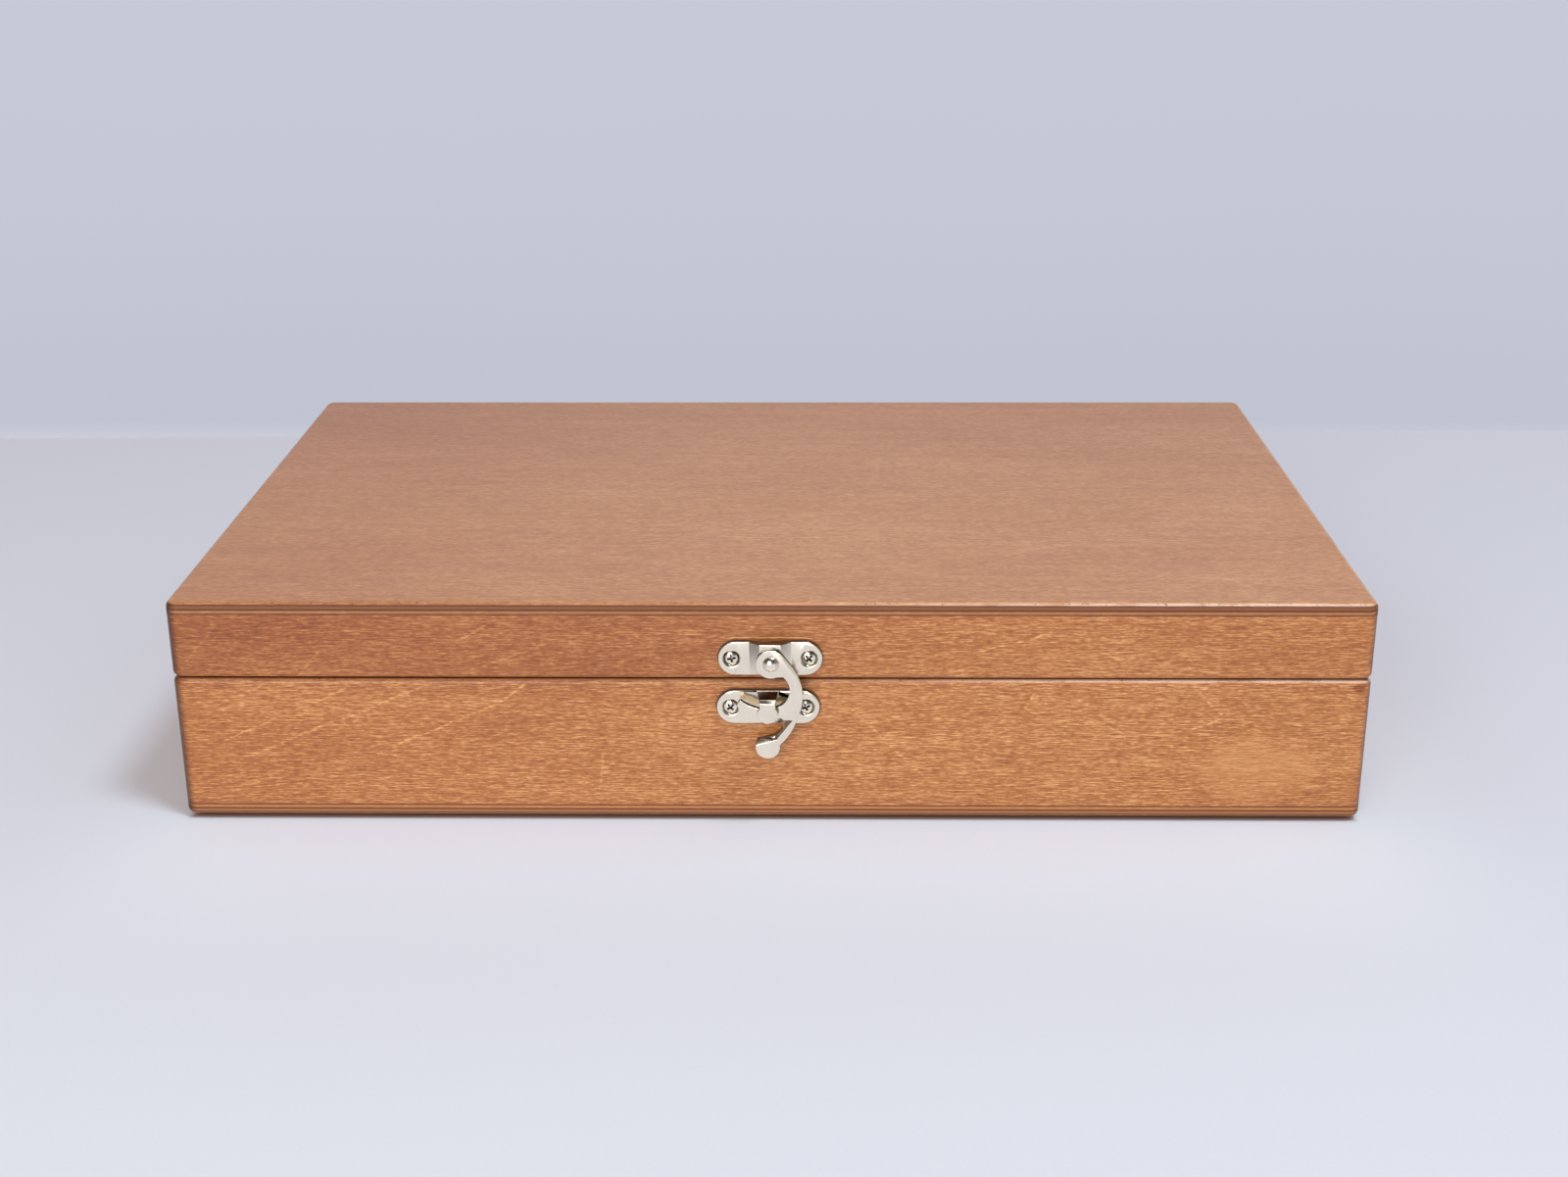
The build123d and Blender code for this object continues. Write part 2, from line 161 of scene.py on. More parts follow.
class Paint:
    def __init__(self, name, owner=None):
        self.material = owner or bpy.data.materials.new(name)
        self.material.use_nodes = True
        self.tree = self.material.node_tree
        self.tree.nodes.clear()

    def node(self, kind, settings=None, values=None, out=0):
        made = self.tree.nodes.new("ShaderNode" + kind)
        for key, value in (settings or {}).items():
            setattr(made, key, value)
        for key, value in (values or {}).items():
            if isinstance(value, Wire):
                self.tree.links.new(value.socket, made.inputs[key])
            else:
                made.inputs[key].default_value = value
        return Wire(self, made.outputs[out])

    def place(self):                         # object coordinates in millimetres
        found = self.node("TexCoord", out="Object")
        scaled = self.node("VectorMath", {"operation": "SCALE"}, {0: found, "Scale": 1 / mm})
        return [self.node("SeparateXYZ", None, {0: scaled}, axis) for axis in "XYZ"]

    def facing(self):                        # the surface's own direction
        found = self.node("TexCoord", out="Normal")
        return [self.node("SeparateXYZ", None, {0: found}, axis) for axis in "XYZ"]

    def vector(self, x, y, z):
        return self.node("CombineXYZ", None, {0: x, 1: y, 2: z})

    def noise(self, where, detail=2.0, rough=0.5, bend=0.0):
        return self.node(
            "TexNoise", {"noise_dimensions": "3D"},
            {"Vector": where, "Scale": 1.0, "Detail": detail, "Roughness": rough, "Distortion": bend},
            "Fac",
        )

    def mix(self, share, first, second, blend="MIX"):
        settings = {"data_type": "RGBA", "blend_type": blend}
        return self.node("Mix", settings, {0: share, 6: first, 7: second}, 2)

    def bump(self, height, depth, strength=1.0):
        values = {"Height": height, "Distance": depth, "Strength": strength}
        return self.node("Bump", None, values, "Normal")

    def ray(self, kind):
        return self.node("LightPath", out=f"Is {kind} Ray")

    def surface(self, values):
        self.output(self.node("BsdfPrincipled", None, values))
        return self.material

    def output(self, shader, kind="OutputMaterial"):
        end = self.tree.nodes.new("ShaderNode" + kind)
        self.tree.links.new(shader.socket, end.inputs["Surface"])


def colour(red, green, blue):                # a colour as seen on a screen, 0 to 255, made linear
    parts = []
    for part in (red, green, blue):
        share = part / 255
        parts.append(share / 12.92 if share <= 0.04045 else ((share + 0.055) / 1.055) ** 2.4)
    return (*parts, 1.0)


# Floor and backdrop
stageLook = {
    "floor": colour(222, 225, 234),
    "floorFar": colour(213, 215, 227),
    "darkFrom": -420.0,                      # painted shade: the floor darkens from here to there
    "darkTo": 300.0,
    "floorPaintedLight": colour(234, 240, 250),       # painted light on the floor just in front of the case
    "boxReach": 90.0,                        # how far in front, and where it ends at the sides
    "boxSides": (130.0, 210.0),
    "boxShare": 0.8,
    "weave": colour(160, 162, 176),
    "weaveSize": 0.9,
    "weaveShare": 0.05,
    "cloudSize": 180.0,
    "horizon": colour(202, 204, 215),
    "under": colour(150, 118, 100),          # painted shade under the case, brown where the wood colours the light
    "backdropLow": colour(192, 196, 209),
    "backdropHigh": colour(199, 202, 214),
    "floorEnd": 277.0,                       # where the floor turns into the backdrop
    "floorEndTurn": 1.2,
    "wall": 900.0,                           # far enough back for the open lid
    "wallFoot": 107.0,                       # shade of the backdrop at the foot of the wall
    "wallScale": 0.59,
    "fadeTop": 259.0,                        # how its shade runs over the floor up to there
    "fadeLength": 889.0,
    "reach": 3500.0,
    "height": 1500.0,
    "inMetal": 0.6,                          # how much of the even floor colour metal mirrors
    "metalGlow": 1.15,
}


def backdropTone(paint, look, x, height):    # paler at the horizon, then slowly lighter upwards
    cloud = paint.noise(paint.vector(x / 260, 0.0, height / 90), 1.0)
    upward = (height + cloud * 30).rise(-10.0, 190.0)
    tone = paint.mix(upward, look["backdropLow"], look["backdropHigh"])
    return paint.mix(height.rise(-2.0, 7.0), look["horizon"], tone)


def floorMaterial(look):
    paint = Paint("studio_floor")
    x, y, z = paint.place()
    size, clouds = look["weaveSize"], look["cloudSize"]
    weave = paint.noise(paint.vector(x / size, y / size, z), 2.0, 0.6)
    cloud = paint.noise(paint.vector(x / clouds, y / clouds, z), 1.0)
    # painted shade: the floor darker towards the back
    far = (y + cloud * 60).rise(look["darkFrom"], look["darkTo"])
    tone = paint.mix(far, look["floor"], look["floorFar"])
    # painted light on the floor just in front of the case, fading at the sides
    beside = 1 - (-(y - case["front"])).rise(0.0, look["boxReach"])
    beside = beside * (1 - abs(x).rise(*look["boxSides"]))
    tone = paint.mix(beside * look["boxShare"], tone, look["floorPaintedLight"])
    # painted shade on the floor under the case
    edge = (abs(x) - case["halfWidth"]).most(abs(y - case["middle"]) - case["halfDepth"])
    tone = paint.mix(1 - edge.rise(-3.0, 0.5), tone, look["under"])
    tone = paint.mix(weave * look["weaveShare"], tone, look["weave"])
    cloth = paint.node("BsdfPrincipled", None, {
        "Base Color": tone,
        "Roughness": 0.92,
        "Specular IOR Level": 0.15,
        "Normal": paint.bump(weave, 0.00012, 0.35),
    })
    glow = paint.node("Emission", None, {"Color": tone, "Strength": look["metalGlow"]})
    mirrored = paint.ray("Glossy") * look["inMetal"]
    cloth = paint.node("MixShader", None, {0: mirrored, 1: cloth, 2: glow})
    past = y - look["floorEnd"]
    height = look["fadeTop"] - look["fadeTop"] * look["fadeLength"] / (past + look["fadeLength"])
    shade = backdropTone(paint, look, x, height)
    haze = paint.node("Emission", None, {"Color": shade, "Strength": 1.0})
    slant = math.tan(math.radians(look["floorEndTurn"]))
    beyond = (past - x * slant).rise(0.0, 1.5) * paint.ray("Camera")
    paint.output(paint.node("MixShader", None, {0: beyond, 1: cloth, 2: haze}))
    return paint.material


def backdropMaterial(look):
    paint = Paint("studio_backdrop")
    x, y, z = paint.place()
    tone = backdropTone(paint, look, x, z * look["wallScale"] + look["wallFoot"])
    glow = paint.node("Emission", None, {"Color": tone, "Strength": 1.0})
    clear = paint.node("BsdfTransparent")
    seen = paint.ray("Camera").most(paint.ray("Glossy"))
    front = 1 - paint.node("NewGeometry", out="Backfacing")
    paint.output(paint.node("MixShader", None, {0: seen * front, 1: clear, 2: glow}))
    return paint.material


def stagePlane(name, corners, material):
    bm = bmesh.new()
    bm.faces.new([bm.verts.new(Vector(corner) * mm) for corner in corners])
    mesh = bpy.data.meshes.new(name)
    bm.to_mesh(mesh)
    bm.free()
    mesh.materials.append(material)
    plane = bpy.data.objects.new(name, mesh)
    scene.collection.objects.link(plane)


def makeStage(look):
    reach, height, wall = look["reach"], look["height"], look["wall"]
    ground = [(-reach, -reach, 0), (reach, -reach, 0), (reach, reach, 0), (-reach, reach, 0)]
    upright = [(-reach, wall, 0), (reach, wall, 0), (reach, wall, height), (-reach, wall, height)]
    stagePlane("floor", ground, floorMaterial(look))
    stagePlane("backdrop", upright, backdropMaterial(look))


makeStage(stageLook)
print("stage ready")


# Lamps: a soft key from the right, the front and above, a weak fill, and an even sky
lampLook = {
    "key": {"start": (620, -600, 1780), "size": 0.48, "power": 14.0, "tint": (0.94, 1.05, 1.17)},
    "fill": {"start": (-420, -1480, 450), "size": 0.9, "power": 11.0, "tint": (0.98, 0.98, 0.98)},
}
skyLook = {
    "power": 0.56,
    "even": (1.0, 0.93, 0.87, 1.0),          # what lights the case
    "low": (0.48, 0.48, 0.48, 1.0),          # what metal mirrors at eye level,
    "high": (0.045, 0.04, 0.04, 1.0),        # above it,
    "top": (1.0, 1.0, 1.0, 1.0),             # overhead,
    "left": (0.16, 0.13, 0.12, 1.0),         # and to the two sides
    "right": (0.34, 0.33, 0.32, 1.0),
}


def makeLamp(name, look):
    data = bpy.data.lights.new(name, "AREA")
    data.shape = "DISK"
    data.size = look["size"]
    data.energy = look["power"]
    data.color = look["tint"]
    start = Vector(look["start"])
    lamp = bpy.data.objects.new(name, data)
    lamp.location = start * mm
    lamp.rotation_euler = (-start).to_track_quat("-Z", "Y").to_euler()
    scene.collection.objects.link(lamp)


def makeSky(look):
    world = bpy.data.worlds.new("studioSky")
    scene.world = world
    sky = Paint("sky", world)
    towards = sky.node("TexCoord", out="Generated")
    height = sky.node("SeparateXYZ", None, {0: towards}, "Z")
    side = sky.node("SeparateXYZ", None, {0: towards}, "X")
    room = sky.mix(height.rise(0.0, 0.25), look["low"], look["high"])
    room = sky.mix(side.rise(0.6, 0.85), room, look["right"])
    room = sky.mix(side.rise(-0.6, -0.85), room, look["left"])
    room = sky.mix(height.rise(0.84, 0.96), room, look["top"])
    even = sky.node("Background", None, {"Color": look["even"], "Strength": look["power"]})
    mirrored = sky.node("Background", None, {"Color": room, "Strength": 1.0})
    plain = sky.node("Background", None, {"Color": stageLook["backdropHigh"], "Strength": 1.0})
    shader = sky.node("MixShader", None, {0: sky.ray("Glossy"), 1: even, 2: mirrored})
    shader = sky.node("MixShader", None, {0: sky.ray("Camera"), 1: shader, 2: plain})
    sky.output(shader, "OutputWorld")


for name, look in lampLook.items():
    makeLamp(name, look)
makeSky(skyLook)
print("lamps ready")


# Plywood: a field from 0, dark, to 1, pale, gives the figure, and each finish turns it into colours
grainLook = {
    "sway": 2.0,                             # how far the fibres wander, in millimetres
    "ripple": 1.15,
    "dash": 1.3,
    "streak": 0.28,
    "cloud": 0.3,
    "figure": 0.05,
    "ringCount": 9,
    "ringWidth": 0.14,
}
fibreSize = {                                # along, across and into the board, in millimetres
    "sway": (38, 12, 12),
    "ripple": (1.9, 0.4, 2),
    "dash": (6, 0.3, 2),
    "streak": (50, 2.4, 10),
    "cloud": (75, 20, 40),
    "rings": (130, 26, 60),
    "drawn": (16, 6, 9),
}
stainLook = {
    "deep": colour(128, 64, 24),
    "stain": colour(179, 111, 56),
    "pale": colour(234, 178, 116),
    "shade": colour(226, 210, 200),          # multiplies the stain where it took redder and darker on the front, and is painted shade on the top
    "warm": colour(250, 243, 233),           # and multiplies the stain towards the left end
    "edge": colour(182, 118, 72),
    "endGrain": colour(126, 76, 48),
    "glue": colour(84, 40, 18),
    # painted shade, on the upright corners and round the clasp's plates
    "corner": colour(70, 36, 24),
    "worn": colour(222, 164, 120),           # worn edges on the left
    "bare": colour(244, 212, 186),           # and on the right, paler with a painted highlight
    "coat": 0.5,
    "coatRough": 0.3,
}
topStainLook = dict(
    stainLook,
    deep=colour(152, 90, 52),
    stain=colour(194, 132, 84),
    pale=colour(232, 180, 134),
    edge=colour(164, 108, 68),
)
# painted light: lighter end grain on the bottom panel's edge, which lies in shade
bottomStainLook = dict(stainLook, endGrain=colour(160, 104, 66))
cornerShadeLook = {                               # painted shade on the upright corners
    "near": 0.5,                             # darkest up to here, in millimetres
    "far": 2.3,
    "wider": 0.45,                           # wider on the left
    "right": 0.35,
    "left": 0.5,                             # and stronger
}
# worn upper edges, with a painted highlight to the right and painted shade to the left
wearAndEdgeLightLook = {
    "inward": 1.6,                           # millimetres in from the outer face
    "down": 1.0,                             # and down from the top edge
    "rub": 0.6,
    "nick": 0.75,
    "deep": 0.3,                             # painted shade on the upper edges at the left end
}
bareLook = {
    "deep": colour(188, 150, 106),
    "stain": colour(214, 182, 140),
    "pale": colour(230, 206, 168),
    "edge": colour(212, 180, 138),
    "endGrain": colour(182, 142, 98),
    "glue": colour(132, 92, 58),
}
jointLook = {"width": 0.34, "dark": 0.55}    # the fine dark line where a panel meets the walls
insideLook = {"from": 7.4, "to": 7.7}        # where the stain stops short of the inner side of the wall


def veneer(paint, along, across, depth, look):
    def fibres(kind, line, detail, rough=0.5, bend=0.0):
        run, over, into = fibreSize[kind]
        where = paint.vector(along / run, line / over, depth / into)
        return paint.noise(where, detail, rough, bend)

    sway = fibres("sway", across, 1.0) - 0.5
    line = across + sway * look["sway"]
    ripple = fibres("ripple", line, 2.0, 0.55, 0.3) - 0.5
    dash = fibres("dash", line, 2.0) - 0.5
    streak = fibres("streak", line, 3.0, 0.55) - 0.5
    cloud = fibres("cloud", line, 2.0) - 0.5
    rings = fibres("rings", across, 1.0) * look["ringCount"]
    drawn = fibres("drawn", across, 1.0).rise(0.45, 0.65)
    figure = (rings % 1.0).band(0.5, look["ringWidth"]) * drawn
    field = 0.5 + ripple * look["ripple"] + dash * look["dash"]
    field = field + streak * look["streak"] + cloud * look["cloud"]
    return field + figure * look["figure"], dash


def layers(paint, depth, along, facingAlong, ply):    # how much of the edge is end grain, and how much glue
    chip = paint.noise(paint.vector(along / 2.2, depth / 0.7, 0.0), 2.0, 0.6) - 0.5
    count = (depth + chip * 0.16) / ply
    odd = abs((count.floor() % 2.0) - facingAlong.rise(0.6, 0.8))
    glue = abs((count % 1.0) - 0.5).rise(0.5 - 0.3 / ply, 0.5 - 0.12 / ply)
    return odd, glue


def finish(paint, tints, value):
    tone = paint.mix(value * 2, tints["deep"], tints["stain"])
    return paint.mix(value * 2 - 1, tone, tints["pale"])


def boardEdge(paint, tints, value, odd, glue):
    long = paint.mix(value * 0.3, tints["edge"], finish(paint, tints, value))
    tone = paint.mix(odd * 0.9, long, tints["endGrain"])
    return paint.mix(glue * 0.85, tone, tints["glue"])


def wornAndLitEdges(paint, place, look):              # where handling has worn the stain off the upper edges, with a painted highlight there towards the right and painted shade towards the left
    x, y, z = place
    outer = (case["halfWidth"] - abs(x)).least(case["halfDepth"] - abs(y - case["middle"]))
    lidEdge = z.rise(case["top"] - look["down"], case["top"] - look["down"] * 0.3)
    baseEdge = z.rise(case["rim"] - look["down"], case["rim"] - look["down"] * 0.5)
    baseEdge = baseEdge * (1 - z.rise(case["rim"] + 0.05, case["rim"] + 0.1))
    edge = (1 - outer.rise(look["inward"] * 0.4, look["inward"])) * lidEdge.most(baseEdge * 0.9)
    patchy = paint.noise(paint.vector(x / 9, y / 9, z / 3), 3.0, 0.6).rise(0.25, 0.55)
    nick = paint.noise(paint.vector(x / 1.1, y / 1.1, z / 0.5), 2.0, 0.6).rise(0.6, 0.7)
    right = x.rise(-80.0, 120.0)
    worn = edge * patchy * right * look["rub"]
    deep = edge * (1 - right) * look["deep"]
    return worn, edge * nick * look["nick"], deep


# axes are those along the grain, across it and through the board, and insideSide is set where a flat panel
# shows bare wood upwards, 1, or downwards, -1
def plywoodMaterial(name, axes, depthOf, ply, look=grainLook, colours=stainLook,
                    extra=None, insideSide=None, bare=False):
    paint = Paint(name)
    place, facing = paint.place(), paint.facing()
    along, across = place[axes[0]], place[axes[1]]
    depth = depthOf(place)
    field, dash = veneer(paint, along, across, place[axes[2]], look)
    if extra:
        field, shade, plateShade = extra(paint, place, facing, field)

    odd, glue = layers(paint, depth, along, abs(facing[axes[0]]), ply)
    onFace = abs(facing[axes[2]]).rise(0.5, 0.85)
    inside = 1.0
    if not bare:
        stained = finish(paint, colours, field)
        if extra:
            warm = 1 - place[0].rise(-150.0, -20.0)
            # redder stain on the front, painted shade on the top
            stained = paint.mix(shade, stained, colours["shade"], "MULTIPLY")
            stained = paint.mix(warm, stained, colours["warm"], "MULTIPLY")
            # painted shade round the clasp's plates
            stained = paint.mix(plateShade, stained, colours["corner"])
        stained = paint.mix(onFace, boardEdge(paint, colours, field, odd, glue), stained)
        cornerX = case["halfWidth"] - abs(place[0])
        cornerY = case["halfDepth"] - abs(place[1] - case["middle"])
        # painted shade on the upright corners, wider and stronger on the left, away from the light
        left = place[0].rise(1.0, -1.0)
        wide = cornerX.most(cornerY) / (1 + left * cornerShadeLook["wider"])
        corner = 1 - wide.rise(cornerShadeLook["near"], cornerShadeLook["far"])
        corner = corner * abs(facing[2]).rise(0.95, 0.6)
        corner = corner * (cornerShadeLook["right"] + left * cornerShadeLook["left"])
        stained = paint.mix(corner, stained, colours["corner"])
        joint = place[2].band(case["topJoint"], jointLook["width"])
        joint = joint + place[2].band(case["bottomJoint"], jointLook["width"])
        stained = paint.mix(joint * jointLook["dark"], stained, colours["glue"])
        # worn upper edges with painted highlight to the right, painted shade to the left, and nicks
        worn, nick, deep = wornAndLitEdges(paint, place, wearAndEdgeLightLook)
        underneath = paint.mix(place[0].rise(-60.0, 120.0), colours["worn"], colours["bare"])
        stained = paint.mix(deep, stained, colours["endGrain"])
        stained = paint.mix(worn, stained, underneath)
        stained = paint.mix(nick, stained, colours["glue"])
        wobble = paint.noise(paint.vector(along / 6, across / 6, 0.0), 2.0) - 0.5
        inside = (cornerX.least(cornerY) + wobble * 0.5).rise(insideLook["from"], insideLook["to"])
        if insideSide is not None:
            inside = inside * (facing[2] * insideSide).rise(0.4, 0.6)
    plain = paint.mix(onFace, boardEdge(paint, bareLook, field, odd, glue), finish(paint, bareLook, field))
    tone = plain if bare else paint.mix(inside, stained, plain)
    outerPly = 1 - depth.rise(1.0, 2.0) if insideSide is None else depth.rise(2.0 * ply, 2.3 * ply)
    sealed = onFace.most(outerPly)
    gloss = 0.0 if bare else (1 - inside) * sealed * (1 - corner) * colours["coat"]
    rough = 0.62 - sealed * 0.16 + dash * 0.2 + 0.1 * inside
    return paint.surface({
        "Base Color": tone,
        "Roughness": rough,
        "Specular IOR Level": 0.35,
        "Coat Weight": gloss,
        "Coat Roughness": stainLook["coatRough"],
        "Normal": paint.bump(field, 0.00004, 0.4),
    })


# The front of the case: pale growth lines that climb on the left, a lens of them on the right, and a knot
frontLook = {
    "streaks": [                             # from x, z to x, z in millimetres, and how pale
        (-150.4, 33.1, -134.5, 40.4, 0.30),
        (-148.6, 22.9, -111.5, 39.6, 0.45),
        (-145.1, 17.5, -90.3, 40.1, 0.50),
        (-130.1, 12.2, -112.8, 17.5, 0.25),
        (-101.8, 21.9, -72.7, 34.6, 0.60),
        (-72.7, 34.6, -64.7, 40.6, 0.60),
        (-83.2, 52.1, -71.8, 58.9, 0.45),
        (-77.6, 44.8, -59.0, 52.1, 0.50),
        (-125.6, 42.8, -119.5, 49.7, 0.35),
        (-116.8, 55.0, -100.9, 56.5, 0.35),
        (-155.7, 46.3, -146.0, 57.9, 0.25),
        (-45.0, 21.0, -46.5, 8.0, 0.35),
        (19.0, 36.0, 42.0, 13.0, 0.30),
        (54.6, 49.7, 68.8, 53.1, 0.50),
        (68.8, 53.1, 74.9, 56.0, 0.50),
        (70.5, 37.5, 67.9, 33.5, 0.40),
        (67.9, 33.5, 73.6, 30.6, 0.45),
        (73.6, 30.6, 90.0, 28.2, 0.45),
        (90.0, 28.2, 94.8, 25.8, 0.35),
        (94.8, 25.8, 107.6, 26.0, 0.20),
        (107.6, 26.0, 116.1, 28.2, 0.45),
        (116.1, 28.2, 120.9, 31.1, 0.50),
        (120.9, 31.1, 112.7, 39.8, 0.45),
    ],
    "streakWidth": 0.5,
    "streakWander": 1.6,
    "streakPale": 0.7,
    "eye": (70.5, 36.5),                     # a small pale double knot
    "eyeSize": 1.5,
    "eyePale": 0.2,
    "knot": (156.4, 39.4),
    "knotSize": 1.5,
    "knotDark": 0.35,
    "patch": (131.5, 16.0),                  # a smooth pale patch
    "patchSize": (16.0, 10.0),
    "patchPale": 0.12,
    "plates": [(0.2, 48.3), (-0.4, 34.35)],  # middles of the clasp's plates
    "plateHalf": 13.75,
    "plateRadius": 4.72,
    "outline": 0.42,                         # painted shade round them, deeper below them
    "trace": 0.6,                            # and a pale line above the upper one
    "traceWidth": 0.3,
    "tracePale": 0.45,
}


def pale(x, z, line, warp, look):            # a pale line between two places
    startX, startZ, endX, endZ, strength = line
    runX, runZ = endX - startX, endZ - startZ
    length = math.hypot(runX, runZ)
    share = ((x - startX) * runX + (z - startZ) * runZ) / length ** 2
    off = ((x - startX) * runZ - (z - startZ) * runX) / length + warp * look["streakWander"]
    ends = share.rise(-0.02, 0.05) * (1 - share.rise(0.93, 1.02))
    return off.band(0.0, look["streakWidth"]) * ends * (strength * look["streakPale"])


def fromPlate(x, z, middle, look):           # distance outside a round-ended plate
    run = (abs(x - middle[0]) - (look["plateHalf"] - look["plateRadius"])).most(0.0)
    rise = z - middle[1]
    return (run * run + rise * rise).root() - look["plateRadius"]


def frontFigure(paint, place, facing, field):
    look = frontLook
    x, y, z = place
    front = (-facing[1]).rise(0.5, 0.8)
    warp = paint.noise(paint.vector(x / 13, z / 8, 2.0), 3.0, 0.55) - 0.5
    broken = paint.noise(paint.vector(x / 2.4, z / 0.5, 7.0), 1.0).rise(0.42, 0.62)
    lines = 0.0
    for line in look["streaks"]:
        lines = pale(x, z, line, warp, look) + lines
    eyeX, eyeZ = x - look["eye"][0], z - look["eye"][1]
    eye = (eyeX * eyeX + eyeZ * eyeZ + warp * 2).band(0.5, look["eyeSize"])
    patchX = (x - look["patch"][0]) / look["patchSize"][0]
    patchZ = (z - look["patch"][1]) / look["patchSize"][1]
    patch = 1 - (patchX * patchX + patchZ * patchZ + warp * 1.4).rise(0.4, 1.5)
    knotX, knotZ = x - look["knot"][0], z - look["knot"][1]
    knot = 1 - (knotX * knotX * 0.5 + knotZ * knotZ + warp * 5).rise(0.1, look["knotSize"] ** 2)
    smooth = (field - 0.5) * (1 - patch * front * 0.5) + 0.5
    marks = lines * (broken * 0.9 + 0.1) + eye * look["eyePale"]
    marks = marks + patch * look["patchPale"] - knot * look["knotDark"]
    marked = smooth + front * marks
    lid = (z + warp * 5).rise(33.0, 47.0)
    left = 1 - (x + warp * 40).rise(-70.0, 50.0)
    # painted shade round each plate, deeper below it
    plateShade = 0.0
    for middle in look["plates"]:
        outline = 1 - fromPlate(x, z, middle, look).rise(look["outline"] * 0.4, look["outline"])
        below = (middle[1] - z + (middle[0] - x) * 0.2).rise(-4.0, 4.0)
        plateShade = outline * (below * 0.4 + 0.45) * front + plateShade
    upper = look["plates"][0]
    trace = fromPlate(x, z, upper, look).band(look["trace"], look["traceWidth"])
    trace = trace * (z - upper[1]).rise(4.5, 5.2)
    marked = marked + trace * front * look["tracePale"]
    return marked, lid * (left * 0.75 + 0.25) * front, plateShade


def topFigure(paint, place, facing, field):  # painted shade: the top is a little darker towards the back and the left
    x, y, z = place
    shade = y.rise(-20.0, 100.0) * 0.5 + (1 - x.rise(-160.0, 20.0)) * 0.2
    return field, shade * facing[2].rise(0.5, 0.8), 0.0


rubberLook = {"dark": colour(34, 30, 28), "worn": colour(62, 56, 52), "speck": 0.4, "rough": 0.7}


def rubberMaterial(look):
    paint = Paint("foot_rubber_matt")
    speck = paint.noise(paint.vector(*[part / look["speck"] for part in paint.place()]), 2.0, 0.6)
    tone = paint.mix(speck, look["dark"], look["worn"])
    return paint.surface({
        "Base Color": tone,
        "Roughness": look["rough"] + speck * 0.2,
        "Normal": paint.bump(speck, 0.00005, 0.4),
    })


nickelLook = {
    "bright": colour(249, 238, 219),
    "dull": colour(240, 228, 207),
    # painted shade in crevices and recesses, from how open each point is
    "creviceShade": colour(74, 58, 46),
    "creviceShadeReach": 0.0006,                    # metres into a crevice
    "creviceShadeShare": 0.55,
    "cut": colour(62, 50, 42),               # painted shade on the sides of the sheet, which face away from the front
    "bend": colour(150, 140, 130),           # painted shade on the slopes of the plates' bends
    "rough": 0.13,
    "speck": 0.5,                            # millimetres
    "cloud": 4.0,
}
# the screws' recesses take deeper painted shade
screwLook = dict(nickelLook, creviceShade=colour(34, 28, 24), creviceShadeReach=0.0009, creviceShadeShare=0.95)


def nickelMaterial(name, look):
    paint = Paint(name)
    x, y, z = paint.place()
    facing = paint.facing()
    forward = abs(facing[1])
    speck = paint.noise(paint.vector(*[part / look["speck"] for part in (x, y, z)]), 3.0, 0.6)
    cloud = paint.noise(paint.vector(*[part / look["cloud"] for part in (x, y, z)]), 2.0, 0.5)
    tone = paint.mix(cloud, look["bright"], look["dull"])
    # painted shade where the surface is hemmed in
    openness = paint.node("AmbientOcclusion", {"samples": 8}, {"Distance": look["creviceShadeReach"]}, "AO")
    # painted shade on the slopes of the plates' bends, deeper higher up
    bend = abs(facing[0]).band(0.62, 0.3) * forward.rise(0.6, 0.7)
    tone = paint.mix(bend * ((z - x * 0.3).rise(45.0, 54.0) * 0.7 + 0.2), tone, look["bend"])
    # painted shade on the sheet's sides
    tone = paint.mix((1 - forward.rise(0.2, 0.55)) * 0.9, tone, look["cut"])
    tone = paint.mix((1 - openness.rise(0.3, 0.9)) * look["creviceShadeShare"], tone, look["creviceShade"])
    rough = look["rough"] + speck * 0.08 + cloud * 0.05
    return paint.surface({
        "Base Color": tone,
        "Metallic": 1.0,
        "Roughness": rough,
        "Normal": paint.bump(speck, 0.00001, 0.2),
    })


def paintNode(name, material):
    for place in nodes[name].material_slots:
        place.material = material


plies = {"panel": 1.25, "wall": 8 / 7, "divider": 1.0}
topLook = dict(grainLook, ripple=1.1, dash=0.8, streak=0.25, cloud=0.25, figure=0.04)


def fromFront(place):
    return case["halfDepth"] - abs(place[1] - case["middle"])


def fromSide(place):
    return case["halfWidth"] - abs(place[0])


def fromTopJoint(place):
    return place[2] - case["topJoint"]


def fromBottomJoint(place):
    return case["bottomJoint"] - place[2]


def dividerDepth(axis, kind):                # distance into a divider, whichever of the row it is
    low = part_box(kind + "_divider_1")[0][axis] / mm
    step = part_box(kind + "_divider_2")[0][axis] / mm - low
    return lambda place: (place[axis] - low) % step


frontWood = plywoodMaterial("stained_front_back", (0, 2, 1), fromFront, plies["wall"], extra=frontFigure)
sideWood = plywoodMaterial("stained_sides", (1, 2, 0), fromSide, plies["wall"])
topWood = plywoodMaterial("stained_top", (0, 1, 2), fromTopJoint, plies["panel"],
                          look=topLook, colours=topStainLook, extra=topFigure, insideSide=-1)
bottomWood = plywoodMaterial("stained_bottom", (0, 1, 2), fromBottomJoint, plies["panel"],
                             look=topLook, colours=bottomStainLook, insideSide=1)
longWood = plywoodMaterial("plain_long", (0, 2, 1), dividerDepth(1, "long"), plies["divider"], bare=True)
crossWood = plywoodMaterial("plain_cross", (1, 2, 0), dividerDepth(0, "cross"), plies["divider"], bare=True)
nickel = nickelMaterial("clasp_nickel", nickelLook)
screwNickel = nickelMaterial("screw_nickel", screwLook)
rubber = rubberMaterial(rubberLook)
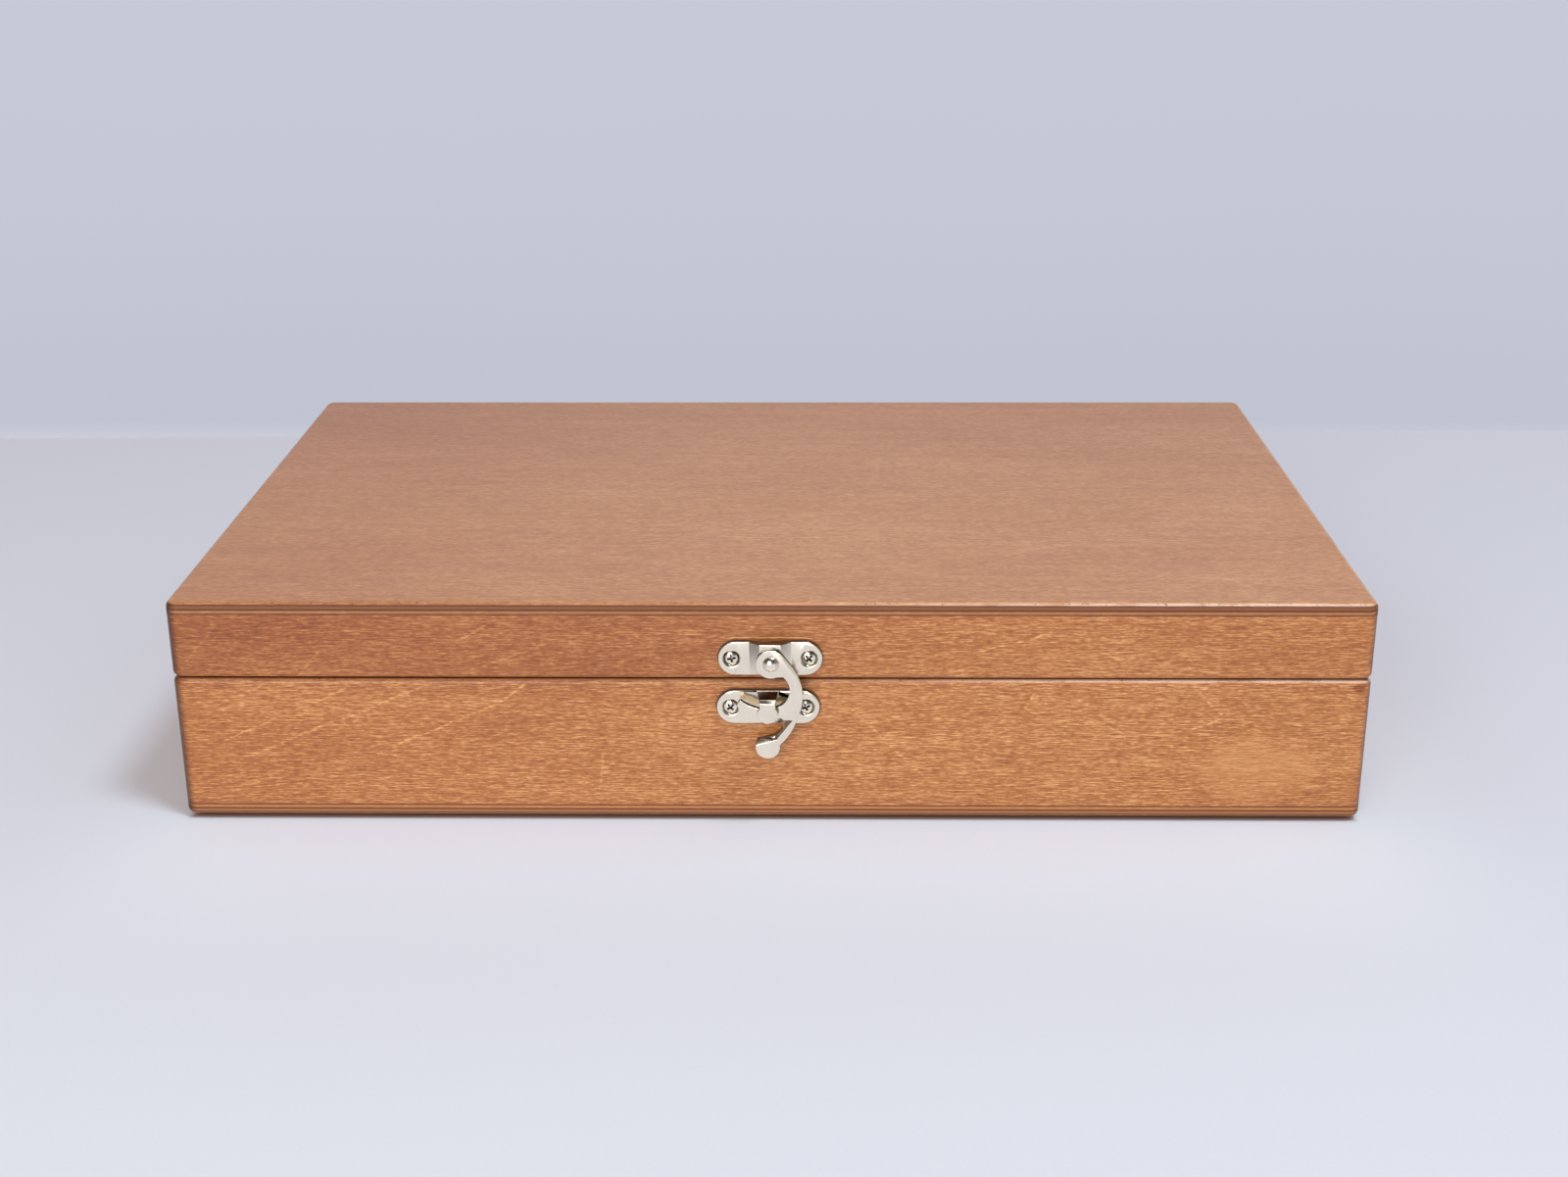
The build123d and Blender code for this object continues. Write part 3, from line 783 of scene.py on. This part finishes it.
for name in nodes:
    if name.endswith(("front_wall", "back_wall")):
        paintNode(name, frontWood)
    elif name.endswith("_wall"):
        paintNode(name, sideWood)
    elif name == "lid_top_panel":
        paintNode(name, topWood)
    elif name == "bottom_panel":
        paintNode(name, bottomWood)
    elif name.startswith("long"):
        paintNode(name, longWood)
    elif name.startswith("cross"):
        paintNode(name, crossWood)
    elif name.startswith("foot"):
        paintNode(name, rubber)
    elif name.endswith("screws"):
        paintNode(name, screwNickel)
    else:
        paintNode(name, nickel)
print("materials set")


# Metal pieces and dividers are copied with their sharp edges rounded, so that each catches the light
edgeLook = {
    "weld": 0.001,                           # millimetres
    "flat": 0.7,                             # triangles that turn less than this are joined, in degrees
    "corner": 32.0,                          # edges that turn more than this are rounded
    "swing_hook": 0.13,                      # radius for each piece, in millimetres
    "hook_plate": 0.2,
    "keeper_plate": 0.2,
    "hook_rivet": 0.12,
    "screws": 0.05,
    "leaf": 0.15,
    "divider": 0.5,
}


def roundedCopy(name, radius, material):
    bm = bmesh.new()
    bm.from_mesh(nodes[name].data)
    bmesh.ops.remove_doubles(bm, verts=bm.verts, dist=edgeLook["weld"] * mm)
    flat = math.radians(edgeLook["flat"])
    bmesh.ops.dissolve_limit(bm, angle_limit=flat, verts=bm.verts, edges=bm.edges)
    for face in bm.faces:
        face.smooth = True
    mesh = bpy.data.meshes.new(name + "_rounded")
    bm.to_mesh(mesh)
    bm.free()
    mesh.materials.append(material)
    piece = bpy.data.objects.new(name + "_rounded", mesh)
    scene.collection.objects.link(piece)
    edge = piece.modifiers.new("edge", "BEVEL")
    edge.width = radius * mm
    edge.segments = 2
    edge.limit_method = "ANGLE"
    edge.angle_limit = math.radians(edgeLook["corner"])
    edge.use_clamp_overlap = False
    edge.harden_normals = True
    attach(piece, bodyOf[name])
    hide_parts(name)


for name in sorted(nodes):
    if name in edgeLook:
        roundedCopy(name, edgeLook[name], nickel)
    elif name.endswith("_screws"):
        roundedCopy(name, edgeLook["screws"], screwNickel)
    elif name.endswith("_leaf"):
        roundedCopy(name, edgeLook["leaf"], nickel)
    elif name.startswith("long"):
        roundedCopy(name, edgeLook["divider"], longWood)
    elif name.startswith("cross"):
        roundedCopy(name, edgeLook["divider"], crossWood)
print("edges rounded")
